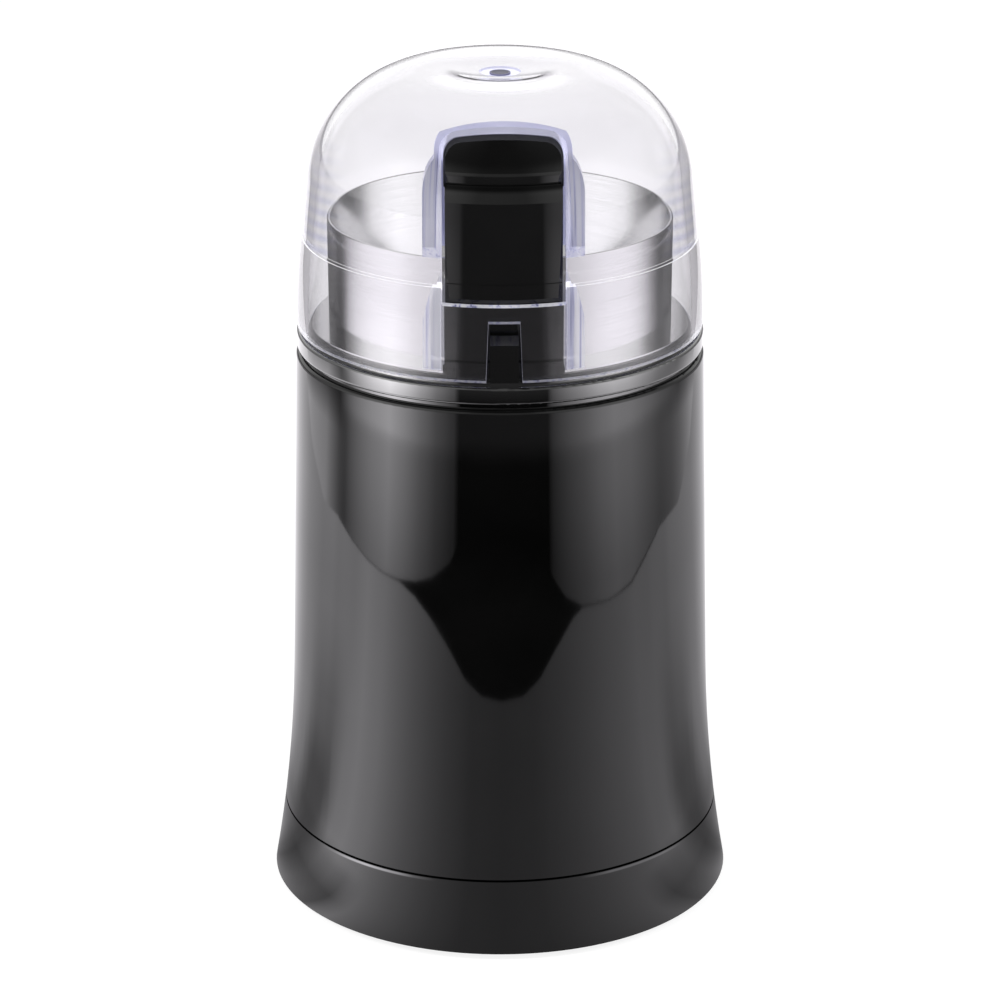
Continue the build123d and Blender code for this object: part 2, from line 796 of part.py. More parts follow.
with BuildPart() as blade:
    with BuildSketch(Plane.XZ):
        with BuildLine():
            Polyline(
                (-blade_reach, blade_z + blade_lift),
                (-blade_flat, blade_z),
                (blade_flat, blade_z),
                (blade_reach, blade_z + blade_lift),
                (blade_reach, blade_z + blade_lift + blade_sheet),
                (blade_flat, blade_z + blade_sheet),
                (-blade_flat, blade_z + blade_sheet),
                (-blade_reach, blade_z + blade_lift + blade_sheet),
                close=True,
            )
        make_face()
    extrude(amount=blade_width / 2, both=True)
    with BuildSketch(Plane.XY.offset(blade_z)):
        with BuildLine():
            Polyline(
                (blade_reach, -blade_width / 2),
                (blade_reach, blade_tip_width - blade_width / 2),
                (blade_flat, blade_width / 2),
                (-blade_reach, blade_width / 2),
                (-blade_reach, blade_width / 2 - blade_tip_width),
                (-blade_flat, -blade_width / 2),
                close=True,
            )
        make_face()
    extrude(amount=blade_lift + blade_sheet, mode=Mode.INTERSECT)
    wing_edges = blade.edges().filter_by(lambda edge: abs(edge.center().X) > blade_flat)
    for leading, side in ((wing_edges.group_by(Axis.Y)[0], 1), (wing_edges.group_by(Axis.Y)[-1], -1)):
        upper = leading.filter_by(lambda edge: edge.center().X * side > 0).sort_by(Axis.Z)
        longest = upper.filter_by(GeomType.LINE).sort_by(SortBy.LENGTH)[-2:]
        chamfer(longest.sort_by(Axis.Z)[-1], blade_sheet / 2)
    with Locations((0, 0, blade_z)):
        Hole(press_bore)
blade.part.label = "blade"
export_step(blade.part, "parts/blade.step")

with BuildPart() as blade_nut:
    with BuildSketch(Plane.XY.offset(nut_z)):
        RegularPolygon(nut_radius, 6)
    extrude(amount=nut_height)
    chamfer(blade_nut.faces().sort_by(Axis.Z)[-1].edges(), nut_height / 5)
    with BuildSketch(Plane.XY.offset(nut_z)):
        Circle(press_bore)
    extrude(amount=shaft_top_z - nut_z, mode=Mode.SUBTRACT)
blade_nut.part.label = "blade_nut"
export_step(blade_nut.part, "parts/blade_nut.step")

# Housing shell with screw bosses, lead hole and a groove for the collar's bead
rib_z = seam_z + base_lip_height + head_room
with BuildPart() as housing:
    with BuildSketch(Plane.XY.offset(seam_z)):
        with PolarLocations(boss_ring, boss_count, start_angle=boss_bearing):
            Circle(boss_radius)
    extrude(amount=boss_height)
    with BuildSketch(Plane.XY.offset(rib_z)):
        with PolarLocations(boss_ring, boss_count, start_angle=boss_bearing):
            Rectangle(boss_inset, boss_rib, align=(Align.MIN, Align.CENTER))
    extrude(amount=boss_height - rib_z + seam_z)
    revolve(body_section(body_wall / 2, seam_z, body_top_z), axis=Axis.Z, mode=Mode.INTERSECT)
    revolve(wall_section(seam_z, body_top_z), axis=Axis.Z)
    top_edges = housing.edges().group_by(Axis.Z)[-1].sort_by(SortBy.LENGTH)
    fillet(top_edges[-1], body_edge_round)
    with BuildSketch(Plane.XY.offset(seam_z)):
        with PolarLocations(boss_ring, boss_count, start_angle=boss_bearing):
            Circle(screw_radius + shaft_press)
    extrude(amount=screw_length, mode=Mode.SUBTRACT)
    with BuildSketch(Plane.XZ):
        with Locations((0, gland_z)):
            Circle(gland_radius + gland_fit)
    extrude(amount=-base_radius, mode=Mode.SUBTRACT)
    with BuildSketch(Plane.XZ):
        with BuildLine():
            Polyline(
                (spigot_radius, bead_z + bead_height + bead_fit),
                (bead_radius + bead_fit, bead_z),
                (spigot_radius, spigot_z - bead_fit),
                close=True,
            )
        make_face()
    revolve(axis=Axis.Z, mode=Mode.SUBTRACT)
housing.part.label = "housing"
export_step(housing.part, "parts/housing.step")

# Base cover: skirt, floor with vents, lip into the housing, screw wells
ledge_z = seam_z - well_ledge
lip_outer = body_radius(seam_z + base_lip_height) - body_wall - base_lip_fit
head_bore = screw_head_radius + head_room / 2
with BuildPart() as base_cover:
    revolve(wall_section(base_z, seam_z - seam_gap), axis=Axis.Z)
    with BuildSketch(Plane.XY.offset(plate_z)):
        Circle(body_radius(plate_top_z) - body_wall / 2)
    extrude(amount=base_plate)
    with BuildSketch(Plane.XY.offset(plate_z)):
        Circle(lip_outer)
        Circle(lip_outer - base_lip_wall, mode=Mode.SUBTRACT)
    extrude(amount=seam_z + base_lip_height - plate_z)
    with BuildSketch(Plane.XY.offset(plate_z)):
        with PolarLocations(boss_ring, boss_count, start_angle=boss_bearing):
            Circle(head_bore + well_shell)
    extrude(amount=seam_z - plate_z)
    with BuildSketch(Plane.XY.offset(plate_z)):
        with PolarLocations(boss_ring, boss_count, start_angle=boss_bearing):
            Circle(head_bore)
    extrude(amount=ledge_z - plate_z, mode=Mode.SUBTRACT)
    with BuildSketch(Plane.XY.offset(plate_z)):
        with PolarLocations(boss_ring, boss_count, start_angle=boss_bearing):
            Circle(screw_hole)
        with PolarLocations(foot_ring, boss_count, start_angle=foot_bearing):
            Circle(foot_stem_radius + foot_stem_fit)
        with PolarLocations(vent_ring, vent_count):
            SlotOverall(vent_length, vent_width)
    extrude(amount=seam_z - plate_z, mode=Mode.SUBTRACT)
base_cover.part.label = "base_cover"
export_step(base_cover.part, "parts/base_cover.step")

with BuildPart() as feet:
    with BuildSketch(Plane.XY):
        with PolarLocations(foot_ring, boss_count, start_angle=foot_bearing):
            Circle(foot_radius)
    extrude(amount=plate_z)
    fillet(feet.edges().group_by(Axis.Z)[0], foot_round)
    with BuildSketch(Plane.XY.offset(plate_z)):
        with PolarLocations(foot_ring, boss_count, start_angle=foot_bearing):
            Circle(foot_stem_radius)
    extrude(amount=base_plate)
    with BuildSketch(Plane.XY.offset(plate_top_z)):
        with PolarLocations(foot_ring, boss_count, start_angle=foot_bearing):
            Circle(foot_bulb_radius)
    extrude(amount=foot_bulb_height, taper=foot_bulb_taper)
feet.part.label = "feet"
export_step(feet.part, "parts/feet.step")

with BuildPart() as base_screws:
    with BuildSketch(Plane.XY.offset(ledge_z)):
        with PolarLocations(boss_ring, boss_count, start_angle=boss_bearing):
            Circle(screw_head_radius)
    extrude(amount=-screw_head_height)
    with BuildSketch(Plane.XY.offset(ledge_z)):
        with PolarLocations(boss_ring, boss_count, start_angle=boss_bearing):
            Circle(screw_radius)
    extrude(amount=screw_length)
base_screws.part.label = "base_screws"
export_step(base_screws.part, "parts/base_screws.step")

# Lead inlet: rubber bush through the back wall
gland_wall_y = body_radius(gland_z)
gland_face_y = gland_wall_y + gland_stand + gland_flange_height
gland_inner_y = gland_wall_y - body_wall - gland_stand - gland_flange_height
with BuildPart() as lead_gland:
    with BuildSketch(Plane.XZ.offset(-gland_face_y)):
        with Locations((0, gland_z)):
            Circle(gland_radius)
    extrude(amount=gland_face_y - gland_inner_y)
    with BuildSketch(Plane.XZ.offset(-gland_face_y)):
        with Locations((0, gland_z)):
            Circle(gland_flange)
    extrude(amount=gland_flange_height)
    fillet(lead_gland.edges().group_by(Axis.Y)[-1], gland_flange_height / 2)
    with BuildSketch(Plane.XZ.offset(-gland_inner_y)):
        with Locations((0, gland_z)):
            Circle(gland_flange)
    extrude(amount=gland_flange_height)
    with BuildSketch(Plane.XZ.offset(-gland_face_y)):
        with Locations((0, gland_z)):
            Circle(gland_bore)
    extrude(amount=gland_face_y, mode=Mode.SUBTRACT)
lead_gland.part.label = "lead_gland"
export_step(lead_gland.part, "parts/lead_gland.step")

# Motor hung from the collar on two rubber mounts
mount_places = [(0, -mount_spread), (0, mount_spread)]
tie_places = [(0, -tie_spread), (0, tie_spread)]
bridge_z = bracket_top_z - bracket_sheet

with BuildPart() as motor_mounts:
    with BuildSketch(Plane.XY.offset(bracket_top_z)):
        with Locations(*mount_places):
            Circle(grommet_radius)
        with Locations(*mount_places):
            Circle(screw_hole, mode=Mode.SUBTRACT)
    extrude(amount=grommet_height)
motor_mounts.part.label = "motor_mounts"
export_step(motor_mounts.part, "parts/motor_mounts.step")

with BuildPart() as mount_screws:
    with BuildSketch(Plane.XY.offset(bridge_z)):
        with Locations(*mount_places):
            Circle(screw_head_radius)
    extrude(amount=-screw_head_height)
    with BuildSketch(Plane.XY.offset(bridge_z)):
        with Locations(*mount_places):
            Circle(screw_radius)
    extrude(amount=bracket_sheet + grommet_height + mount_boss_height)
mount_screws.part.label = "mount_screws"
export_step(mount_screws.part, "parts/mount_screws.step")

bracket_y = tie_spread + screw_head_radius + head_room + bracket_sheet
bracket_foot_y = tie_spread - screw_head_radius
with BuildPart() as upper_bracket:
    with BuildSketch(Plane.YZ):
        with BuildLine():
            Polyline(
                (0, bracket_top_z),
                (bracket_y, bracket_top_z),
                (bracket_y, stack_top_z),
                (bracket_foot_y, stack_top_z),
                (bracket_foot_y, stack_top_z + bracket_sheet),
                (bracket_y - bracket_sheet, stack_top_z + bracket_sheet),
                (bracket_y - bracket_sheet, bridge_z),
                (0, bridge_z),
                close=True,
            )
        make_face()
        mirror(about=Plane.YZ)
    extrude(amount=bracket_half, both=True)
    with BuildSketch(Plane.XY.offset(hub_z)):
        Circle(hub_radius)
    extrude(amount=hub_height)
    with BuildSketch(Plane.XY.offset(hub_z)):
        Circle(bearing_seat)
        with Locations(*mount_places):
            Circle(screw_hole)
    extrude(amount=bracket_top_z - hub_z, mode=Mode.SUBTRACT)
    with BuildSketch(Plane.XY.offset(stack_top_z)):
        with Locations(*tie_places):
            Circle(screw_hole)
    extrude(amount=bracket_sheet, mode=Mode.SUBTRACT)
upper_bracket.part.label = "upper_bracket"
export_step(upper_bracket.part, "parts/upper_bracket.step")

with BuildPart() as lower_bracket:
    with BuildSketch(Plane.XY.offset(lower_plate_z)):
        RectangleRounded(stack_length, 2 * bracket_half, bracket_half / 2)
        RectangleRounded(2 * bracket_half, stack_width, bracket_half / 2)
    extrude(amount=lower_plate)
    with BuildSketch(Plane.XY.offset(lower_plate_top_z)):
        with Locations(*tie_places):
            Rectangle(tie_post_width, tie_post_depth)
    extrude(amount=lower_bracket_height)
    with BuildSketch(Plane.XY.offset(lower_hub_z)):
        Circle(hub_radius)
    extrude(amount=hub_height)
    with BuildSketch(Plane.XY.offset(lower_hub_z)):
        Circle(bearing_seat)
        with Locations(*tie_places):
            Circle(screw_hole)
    extrude(amount=stack_z - lower_hub_z, mode=Mode.SUBTRACT)
lower_bracket.part.label = "lower_bracket"
export_step(lower_bracket.part, "parts/lower_bracket.step")

with BuildPart() as upper_bearing:
    with BuildSketch(Plane.XY.offset(hub_z)):
        Circle(bearing_radius)
        Circle(bearing_bore, mode=Mode.SUBTRACT)
    extrude(amount=bearing_length)
upper_bearing.part.label = "upper_bearing"
export_step(upper_bearing.part, "parts/upper_bearing.step")

with BuildPart() as lower_bearing:
    with BuildSketch(Plane.XY.offset(lower_plate_top_z)):
        Circle(bearing_radius)
        Circle(bearing_bore, mode=Mode.SUBTRACT)
    extrude(amount=-bearing_length)
lower_bearing.part.label = "lower_bearing"
export_step(lower_bearing.part, "parts/lower_bearing.step")

window_x = stack_length / 2 - yoke
with BuildPart() as stator_core:
    with BuildSketch(Plane.XY.offset(stack_z)):
        RectangleRounded(stack_length, stack_width, stack_round)
        Circle(stack_bore, mode=Mode.SUBTRACT)
        with GridLocations(window_x + bracket_half, window_half + pole_half, 2, 2):
            Rectangle(window_x - bracket_half, window_half - pole_half, mode=Mode.SUBTRACT)
        with Locations(*tie_places):
            Circle(screw_hole, mode=Mode.SUBTRACT)
    extrude(amount=stack_height)
stator_core.part.label = "stator_core"
export_step(stator_core.part, "parts/stator_core.step")

coil_x = stack_bore - air_gap - winding_inset + coil_fit
with BuildPart() as field_coils:
    with BuildSketch(Plane.YZ.offset(coil_x)):
        with Locations((0, stack_mid_z)):
            RectangleRounded(2 * (window_half - coil_fit), stack_height + 2 * coil_reach, coil_round)
            hollow = (2 * (pole_half + coil_fit), stack_height + 2 * coil_fit)
            Rectangle(*hollow, mode=Mode.SUBTRACT)
    extrude(amount=window_x - coil_fit - coil_x)
    mirror(about=Plane.YZ)
field_coils.part.label = "field_coils"
export_step(field_coils.part, "parts/field_coils.step")

with BuildPart() as armature_core:
    with BuildSketch(Plane.XY.offset(stack_z)):
        Circle(arm_radius)
        Circle(press_bore, mode=Mode.SUBTRACT)
        with PolarLocations(arm_radius, tooth_count):
            Rectangle(2 * slot_depth, slot_width, mode=Mode.SUBTRACT)
    extrude(amount=stack_height)
armature_core.part.label = "armature_core"
export_step(armature_core.part, "parts/armature_core.step")

winding_radius = arm_radius - winding_inset
winding_ends = ((stack_top_z + winding_fit, winding_height), (stack_z - winding_fit, -winding_height))
with BuildPart() as armature_winding:
    for start_z, height in winding_ends:
        with BuildSketch(Plane.XY.offset(start_z)):
            Circle(winding_radius)
        extrude(amount=height)
    fillet(armature_winding.edges().group_by(Axis.Z)[-1], winding_round)
    fillet(armature_winding.edges().group_by(Axis.Z)[0], winding_round)
    with BuildSketch(Plane.XY.offset(stack_z - winding_height / 2)):
        with PolarLocations(winding_radius, tooth_count):
            bar_length = slot_depth - winding_inset - winding_fit
            Rectangle(bar_length, slot_width - 2 * winding_fit, align=(Align.MAX, Align.CENTER))
    extrude(amount=stack_height + winding_height)
    with BuildSketch(Plane.XY.offset(stack_z - 2 * winding_height)):
        Circle(winding_core)
    extrude(amount=stack_height + 4 * winding_height, mode=Mode.SUBTRACT)
armature_winding.part.label = "armature_winding"
export_step(armature_winding.part, "parts/armature_winding.step")

with BuildPart() as commutator:
    with BuildSketch(Plane.XY.offset(commutator_z)):
        Circle(commutator_radius)
        Circle(press_bore, mode=Mode.SUBTRACT)
        with PolarLocations(commutator_radius, tooth_count):
            Rectangle(2 * bar_groove_depth, bar_groove, mode=Mode.SUBTRACT)
    extrude(amount=commutator_height)
commutator.part.label = "commutator"
export_step(commutator.part, "parts/commutator.step")

with BuildPart() as tie_screws:
    with BuildSketch(Plane.XY.offset(lower_plate_z)):
        with Locations(*tie_places):
            Circle(screw_head_radius)
    extrude(amount=-screw_head_height)
    with BuildSketch(Plane.XY.offset(lower_plate_z)):
        with Locations(*tie_places):
            Circle(screw_radius)
    extrude(amount=stack_top_z + bracket_sheet + screw_head_height + head_room - lower_plate_z)
tie_screws.part.label = "tie_screws"
export_step(tie_screws.part, "parts/tie_screws.step")

with BuildPart() as tie_nuts:
    with BuildSketch(Plane.XY.offset(stack_top_z + bracket_sheet)):
        with Locations(*tie_places):
            RegularPolygon(screw_head_radius, 6)
        with Locations(*tie_places):
            Circle(screw_radius + shaft_press, mode=Mode.SUBTRACT)
    extrude(amount=screw_head_height)
tie_nuts.part.label = "tie_nuts"
export_step(tie_nuts.part, "parts/tie_nuts.step")

# Brushes in brass holders on the lower bracket
holder_inner = brush_width + 2 * brush_fit
holder_outer = holder_inner + 2 * holder_wall
brush_z = lower_plate_top_z + holder_outer / 2
brush_x = commutator_radius + brush_gap
holder_x = brush_x + 2 * brush_gap
holder_end_x = holder_x + holder_length
with BuildPart() as brush_holders:
    with BuildSketch(Plane.YZ.offset(holder_x)):
        with Locations((0, brush_z)):
            Rectangle(holder_outer, holder_outer)
    extrude(amount=holder_length)
    with BuildSketch(Plane.YZ.offset(holder_x)):
        with Locations((0, brush_z)):
            Rectangle(holder_inner, holder_inner)
    extrude(amount=holder_length - holder_wall, mode=Mode.SUBTRACT)
    mirror(about=Plane.YZ)
brush_holders.part.label = "brush_holders"
export_step(brush_holders.part, "parts/brush_holders.step")

with BuildPart() as brushes:
    with BuildSketch(Plane.YZ):
        with Locations((0, brush_z)):
            Rectangle(brush_width, brush_width)
    extrude(amount=brush_x + brush_length)
    with BuildSketch(Plane.XY.offset(lower_plate_top_z)):
        Circle(brush_x)
    extrude(amount=holder_outer, mode=Mode.SUBTRACT)
    mirror(about=Plane.YZ)
brushes.part.label = "brushes"
export_step(brushes.part, "parts/brushes.step")

brush_end_x = brush_x + brush_length + spring_wire + return_end_gap
brush_spring_length = holder_end_x - holder_wall - spring_wire - return_end_gap - brush_end_x
brush_seat = Plane((brush_end_x, 0, brush_z), x_dir=(0, 1, 0), z_dir=(1, 0, 0))
brush_path = coil_path(brush_seat, brush_spring_radius, brush_spring_length, brush_spring_turns)
with BuildPart() as brush_springs:
    with BuildSketch(Plane(brush_path @ 0, z_dir=brush_path % 0)):
        Circle(spring_wire)
    sweep(path=brush_path)
    mirror(about=Plane.YZ)
brush_springs.part.label = "brush_springs"
export_step(brush_springs.part, "parts/brush_springs.step")

# Switch on the collar's plate, with a lever under the rod's nose
switch_mid_x = switch_left + switch_length / 2
switch_mid_z = switch_z + switch_height / 2
switch_face_y = switch_back_y + switch_depth
switch_holes = [(switch_mid_x + side * switch_hole_spread / 2, switch_mid_z) for side in (-1, 1)]

with BuildPart() as switch_body:
    with BuildSketch(Plane.XZ.offset(switch_back_y)):
        with Locations((switch_mid_x, switch_mid_z)):
            RectangleRounded(switch_length, switch_height, switch_height / 12)
        with Locations(*switch_holes):
            Circle(switch_screw_radius + screw_fit, mode=Mode.SUBTRACT)
    extrude(amount=switch_depth)
switch_body.part.label = "switch_body"
export_step(switch_body.part, "parts/switch_body.step")

with BuildPart() as switch_terminals:
    with BuildSketch(Plane.XY.offset(switch_z)):
        with Locations(*[(switch_mid_x + side * switch_length / 3, -lever_y) for side in (-1, 0, 1)]):
            Rectangle(terminal_sheet, terminal_width)
    extrude(amount=-terminal_height)
switch_terminals.part.label = "switch_terminals"
export_step(switch_terminals.part, "parts/switch_terminals.step")

with BuildPart() as switch_screws:
    with BuildSketch(Plane.XZ.offset(switch_face_y)):
        with Locations(*switch_holes):
            Circle(2 * switch_screw_radius)
    extrude(amount=switch_screw_radius)
    with BuildSketch(Plane.XZ.offset(switch_face_y)):
        with Locations(*switch_holes):
            Circle(switch_screw_radius)
    extrude(amount=-switch_depth - switch_plate)
switch_screws.part.label = "switch_screws"
export_step(switch_screws.part, "parts/switch_screws.step")

lever_run = Vector(cos(radians(lever_rise)), sin(radians(lever_rise)))
lever_up = Vector(-lever_run.Y, lever_run.X)
with BuildPart() as switch_lever:
    with BuildSketch(Plane.XZ.offset(lever_y)):
        with BuildLine():
            root = Vector(lever_x, lever_z)
            tip = root + lever_run * lever_length
            Polyline(root, tip, tip + lever_up * lever_sheet, root + lever_up * lever_sheet, close=True)
        make_face()
        with Locations((lever_x, lever_z)):
            Circle(lever_barrel)
    extrude(amount=lever_width / 2, both=True)
switch_lever.part.label = "switch_lever"
export_step(switch_lever.part, "parts/switch_lever.step")
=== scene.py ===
import json
import math

import bmesh
import bpy
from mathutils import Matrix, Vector


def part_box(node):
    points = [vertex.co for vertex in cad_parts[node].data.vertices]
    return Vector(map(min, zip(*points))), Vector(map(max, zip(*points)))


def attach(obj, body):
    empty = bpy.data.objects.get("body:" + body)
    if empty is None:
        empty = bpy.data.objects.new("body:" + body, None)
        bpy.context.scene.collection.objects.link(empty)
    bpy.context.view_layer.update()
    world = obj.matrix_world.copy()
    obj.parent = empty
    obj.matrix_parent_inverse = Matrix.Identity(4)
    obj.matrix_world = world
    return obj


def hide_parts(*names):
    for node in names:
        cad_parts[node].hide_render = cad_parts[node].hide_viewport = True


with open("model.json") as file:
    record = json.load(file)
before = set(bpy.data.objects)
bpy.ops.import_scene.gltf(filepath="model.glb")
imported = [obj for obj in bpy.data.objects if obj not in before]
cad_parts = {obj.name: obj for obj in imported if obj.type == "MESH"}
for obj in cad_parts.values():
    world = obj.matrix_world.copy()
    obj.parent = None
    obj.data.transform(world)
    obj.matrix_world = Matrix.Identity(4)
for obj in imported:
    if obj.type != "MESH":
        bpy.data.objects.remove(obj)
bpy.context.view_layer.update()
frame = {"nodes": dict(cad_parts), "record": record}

nodes = frame["nodes"]
mm = 0.001
white = (1, 1, 1, 1)

# Camera, fitted to the rings and outlines of the photograph
photo_size = 1000.0
sensor_width = 36.0
focal_pixels = 3878.8
camera_back = 787.5 * mm
camera_height = 379.1 * mm
camera_pitch = math.radians(20.43)
camera_yaw = math.radians(1.2)
camera_near = 10.0 * mm

# Turned profile of the lid
lid_radius = 43.1 * mm
lid_wall = 2.2 * mm
band_height = 19.3 * mm
band_top_radius = 41.9 * mm
dome_radius = 41.65 * mm
dome_draft = math.radians(5.8)
dome_corner = 25.2 * mm
dish_sink = 1.5 * mm
gate_nub = 2.3 * mm
gate_ring = 6.0 * mm
crown_foot = 178.0 * mm
on_curve = 0.03 * mm
facing = 0.96
facet_span = 0.998
facet_rounds = 2

# Painted violet rings low on the dome, standing in for light refracted by its wall
ring_pitch = 0.42 * mm
ring_slant = 14.0
ring_low = 146.5 * mm
ring_foot = 150.0 * mm
ring_top = 174.0 * mm
clear_tint = (0.955, 0.945, 0.965)
refracted_violet = (0.62, 0.63, 0.84)

# Painted glow on edges of the lid: the roof of its arch, and the crease between band and dome
roof_foot = 168.0 * mm
roof_top = 171.0 * mm
crease_foot = 145.6 * mm
crease_top = 147.0 * mm
crease_blur = 0.2 * mm

# Bowl, ring of the collar, and the painted glint on the rounded top edge of the base, set by bearing
cup_radius = 36.1 * mm
cup_blur = 0.1 * mm
inside_lift = 0.4
ring_shine_top = 127.0 * mm
base_lip_rise = 4.5 * mm
glint_start = 0.75 * mm
glint_full = 0.45 * mm
glint_fading = 0.2 * mm
glint_tint = (0.97, 0.95, 1.0)
rim_painted_glint = [
    (-180, 0.0), (-54, 0.0), (-49, 0.08), (-44, 0.3), (-38, 0.4), (-34, 0.3), (-28, 0.2),
    (-24, 0.06), (-18, 0.0), (20, 0.0), (24, 0.03), (28, 0.07), (47, 0.07), (54, 0.0), (180, 0.0),
]

# Texture depths of the finishes
fine_depth = 0.02 * mm
pore_depth = 0.1 * mm

# Studio
ground_radius = 3.0
ground_sides = 128
table_white = 0.86
table_albedo = 0.25
room_for_diffuse = 0.55
ground_in_wall_share = 0.45
lamp_strength = 4.1
shine_tint = (0.985, 0.965, 1.0, 1)
overhead_start = 0.5
overhead_full = 0.8
overhead_dimming = 0.9
backdrop_foot = 0.06
backdrop_top = 0.2
softbox_size = 320.0 * mm
softbox_distance = 1.0
softbox_bearing = math.radians(62.0)
softbox_rise = math.radians(40.0)
softbox_aim = 90.0 * mm
softbox_power = 4.6
right_softbox_share = 0.75

# Surfaces that a ray has met before it counts as mirrored, within a clear wall, or come from under the lid
mirrored_depth = 0.5
in_wall_depth = 0.5
lidded_depth = 2.5

# Distance in metres at which the table ends and the lamps begin, by bearing in degrees
table_edge = [
    (-180, 1.0), (-165, 1.0), (-150, 0.548), (-140, 0.426), (-126, 0.339), (-110, 0.3),
    (-97, 0.299), (-85, 0.288), (-74, 0.28), (-64, 0.276), (-54, 0.275), (-45, 0.267),
    (-36, 0.253), (-27, 0.234), (-18.5, 0.213), (-10, 0.202), (0, 0.199), (10, 0.202),
    (18.5, 0.213), (27, 0.233), (36, 0.253), (41, 0.259), (57, 0.257), (70, 0.261),
    (80, 0.275), (92, 0.292), (110, 0.296), (126, 0.339), (140, 0.426), (150, 0.548),
    (165, 1.0), (180, 1.0),
]
lamp_edge = [
    (-180, 0.3), (-97, 0.3), (-85, 0.289), (-74, 0.281), (-64, 0.277), (-54, 0.277), (-45, 0.28),
    (-36, 0.287), (-27, 0.302), (-20, 0.33), (20, 0.32), (25, 0.292), (32, 0.272), (41, 0.261),
    (57, 0.258), (70, 0.263), (80, 0.277), (92, 0.293), (180, 0.3),
]

# Brightness of room, table and lamps in a mirrored ray, by bearing in degrees
room_glow = [
    (-180, 0.2), (-150, 0.2), (-126, 0.25), (-100, 0.9), (-73, 2.4), (-53, 1.75), (-35, 0.95),
    (-15, 0.4), (15, 0.35), (35, 0.9), (53, 1.4), (72, 1.75), (100, 0.6), (126, 0.25), (150, 0.2),
    (180, 0.2),
]
under_lid_glow = [
    (-180, 1.1), (-170, 1.0), (-163, 0.1), (-140, 0.02), (-126, 0.04), (-120, 0.22), (-114, 0.8),
    (-105, 1.15), (-97, 1.25), (-89, 1.3), (-75, 1.3), (-63, 1.22), (-57, 1.12), (-40, 1.1),
    (-27, 1.1), (-22, 0.25), (0, 0.2), (22, 0.25), (27, 1.0), (40, 0.9), (57, 1.1), (63, 1.2),
    (75, 1.28), (89, 1.28), (97, 1.15), (105, 0.8), (114, 0.3), (122, 0.05), (140, 0.02),
    (163, 0.1), (170, 1.0), (180, 1.1),
]
over_cup_glow = [
    (-180, 1.1), (-170, 1.0), (-163, 0.1), (-140, 0.02), (-126, 0.03), (-114, 0.45), (-100, 1.35),
    (-75, 1.6), (-40, 1.4), (-27, 1.25), (-22, 0.3), (0, 0.25), (22, 0.3), (27, 1.2), (40, 1.35),
    (75, 1.55), (100, 1.2), (114, 0.25), (126, 0.03), (140, 0.02), (163, 0.1), (170, 1.0), (180, 1.1),
]
in_wall_glow = [(-180, 1.3), (-75, 1.3), (-30, 0.25), (30, 0.25), (75, 1.3), (180, 1.3)]
backdrop_glow = [(-180, 0.9), (-140, 0.8), (-110, 0.0), (110, 0.0), (140, 0.8), (180, 0.9)]
table_glow = [
    (-180, 0.9), (-126, 0.85), (-110, 1.0), (-95, 1.45), (-84, 2.2), (-73, 3.0), (-62, 2.75),
    (-53, 2.1), (-44, 1.5), (-35, 1.05), (-27, 0.75), (-15, 0.45), (0, 0.38), (15, 0.42), (27, 0.6),
    (35, 0.75), (53, 1.15), (72, 1.45), (84, 1.3), (95, 0.9), (126, 0.62), (150, 0.7), (180, 0.9),
]
lamp_glow = [
    (-180, 0.0), (-97, 0.0), (-95, 0.05), (-84, 0.43), (-73, 0.8), (-62, 1.08), (-53, 0.8),
    (-44, 0.44), (-35, 0.2), (-27, 0.09), (-24.5, 0.07), (-23.5, 0.0), (24.5, 0.0), (25.5, 0.05),
    (27, 0.08), (35, 0.19), (44, 0.31), (53, 0.475), (62, 0.57), (72, 0.5), (83, 0.32), (95, 0.155),
    (109, 0.03), (112, 0.0), (180, 0.0),
]
side_glow = [
    (-180, 1.95), (-150, 1.85), (-126, 1.65), (-109, 1.95), (-97, 0.7), (-92, 0.0), (92, 0.0),
    (104, 0.4), (112, 0.85), (126, 1.3), (150, 1.3), (180, 1.95),
]
back_glow = [(-180, 1.0), (-166, 0.9), (-154, 0.0), (154, 0.0), (166, 0.9), (180, 1.0)]

# Share of each painted change to the mirrored table's brightness, darker close to the base, by bearing in
# degrees
flank_share = [(-180, 1.0), (-100, 1.0), (-82, 0.0), (82, 0.0), (100, 1.0), (180, 1.0)]
foot_shade_share = [
    (-180, 0.0), (-110, 0.0), (-95, 1.0), (-66, 1.0), (-56, 0.0), (56, 0.0), (66, 0.8), (95, 0.8),
    (110, 0.0), (180, 0.0),
]
skirt_shade_share = [
    (-180, 0.0), (-118, 0.0), (-106, 1.0), (-92, 1.0), (-82, 0.0), (82, 0.0), (92, 0.7), (106, 0.7),
    (118, 0.0), (180, 0.0),
]

# Strength of each light or shade, by distance from the object's axis in metres
lamp_reach = [
    (0.0, 0.6), (0.276, 0.6), (0.316, 0.76), (0.343, 0.87), (0.369, 0.95), (0.39, 1.0),
    (0.4, 1.15), (0.41, 1.5), (0.6, 1.5), (1.0, 1.0),
]
side_reach = [(0.0, 1.0), (0.375, 1.0), (0.4, 0.5), (0.42, 0.12), (0.6, 0.12), (1.0, 0.3)]
back_reach = [(0.0, 0.0), (0.37, 0.0), (0.4, 0.8), (1.0, 0.8)]
haze_reach = [(0.0, 0.0), (0.395, 0.0), (0.42, 0.14), (1.0, 0.14)]
flank_reach = [
    (0.0, 0.3), (0.08, 0.45), (0.095, 0.68), (0.11, 0.85), (0.14, 1.09), (0.19, 1.3), (0.215, 1.35),
    (0.245, 1.39), (0.27, 1.48), (0.3, 1.58), (1.0, 1.58),
]
foot_shade_reach = [(0.0, 0.72), (0.07, 0.72), (0.09, 0.3), (0.1, 0.0), (1.0, 0.0)]
skirt_shade_reach = [
    (0.0, 0.0), (0.075, 0.0), (0.095, 0.5), (0.12, 0.55), (0.14, 0.35), (0.18, 0.15), (0.22, 0.0),
    (1.0, 0.0),
]


